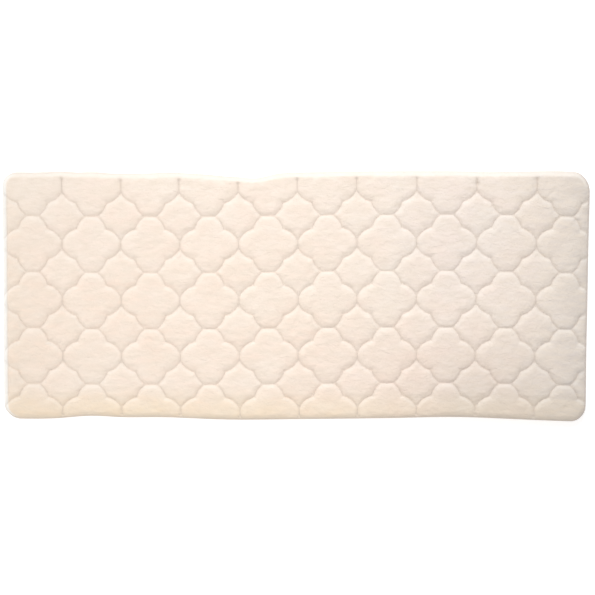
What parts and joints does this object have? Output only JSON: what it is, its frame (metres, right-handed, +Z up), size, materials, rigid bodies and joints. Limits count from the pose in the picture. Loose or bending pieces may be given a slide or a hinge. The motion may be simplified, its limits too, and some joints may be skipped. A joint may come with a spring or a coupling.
{
  "type": "anti fatigue mat",
  "caption": "Long cushioned floor mat with rounded corners: a cream plush cover pressed into a quatrefoil trellis over a foam core, on a non-slip base.",
  "frame": {"origin": "centre of the mat's outline, on the floor under the grip pads", "axes": "+X along the mat's length, +Y across its width, +Z up through its thickness to the plush face"},
  "size_m": [1.2, 0.508, 0.02],
  "materials": {
    "plush": "short cream plush pile, soft and matt",
    "foam": "open-cell polyurethane foam, matt",
    "base_cloth": "plain knitted polyester",
    "grip_rubber": "soft satin rubber dots",
    "thread": "twisted polyester thread",
    "label": "satin ribbon, blank"
  },
  "bodies": {
    "root": {"plush_cover": "plush", "foam_core": "foam", "base_cloth": "base_cloth", "grip_coat": "grip_rubber", "closing_stitch": "thread", "care_label": "label"}
  },
  "joints": []
}
